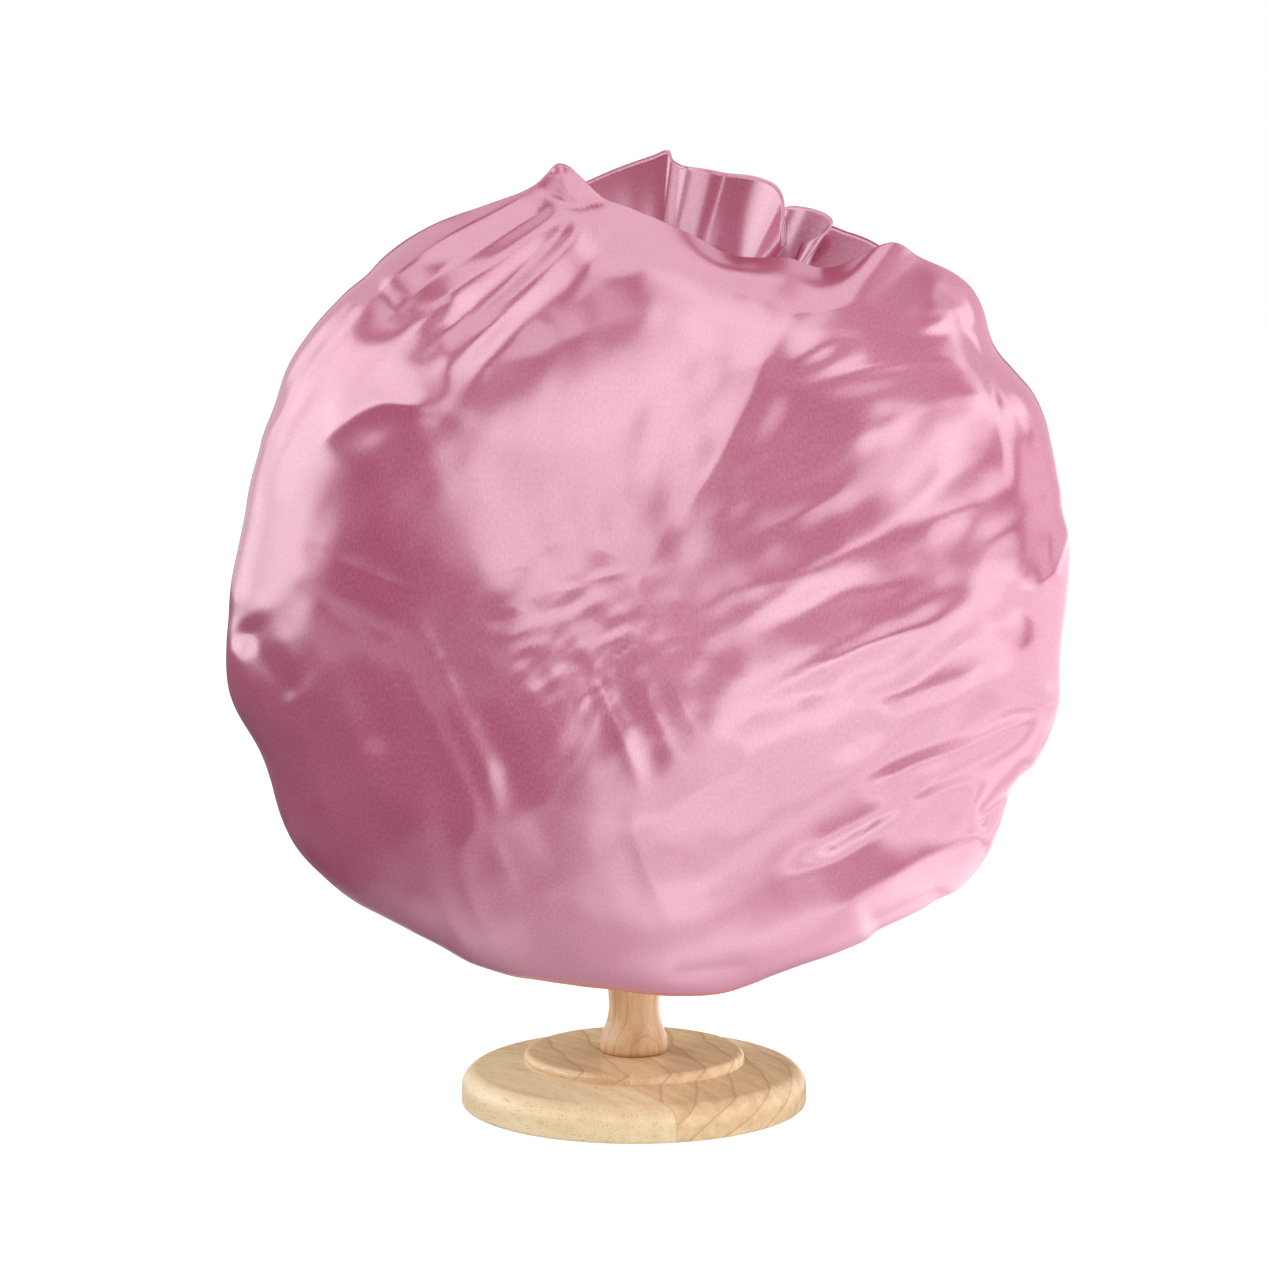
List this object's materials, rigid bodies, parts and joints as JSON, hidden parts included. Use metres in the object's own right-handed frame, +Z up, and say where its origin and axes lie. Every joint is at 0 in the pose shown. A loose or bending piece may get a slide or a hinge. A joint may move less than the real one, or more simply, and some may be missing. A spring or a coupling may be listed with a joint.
{
  "type": "sleep bonnet on a wooden hat stand",
  "caption": "Puffed pink satin sleep bonnet with a gathered elastic edge and ruffle, resting on a turned wooden hat stand with a stepped round base",
  "frame": {"origin": "on the floor, in the middle of the stand's flat underside", "axes": "+Z up; the crown of the bonnet faces -Y and its mouth faces +Y and a little down; +X is to the right for someone looking at the crown"},
  "size_m": [0.3291, 0.2415, 0.3975],
  "materials": {
    "crown_satin": "glossy pink polyester satin, soft broad highlights",
    "casing_satin": "the same satin, stitched in a channel over the elastic",
    "ruffle_satin": "the same satin, free gathered edge",
    "base_wood": "pale rubberwood boards glued up and turned, satin lacquer",
    "post_wood": "pale rubberwood turned, satin lacquer",
    "head_wood": "pale rubberwood turned, satin lacquer"
  },
  "bodies": {
    "root": {"crown": "crown_satin", "elastic_casing": "casing_satin", "ruffle": "ruffle_satin", "stand_base": "base_wood", "stand_post": "post_wood", "stand_head": "head_wood"}
  },
  "joints": []
}
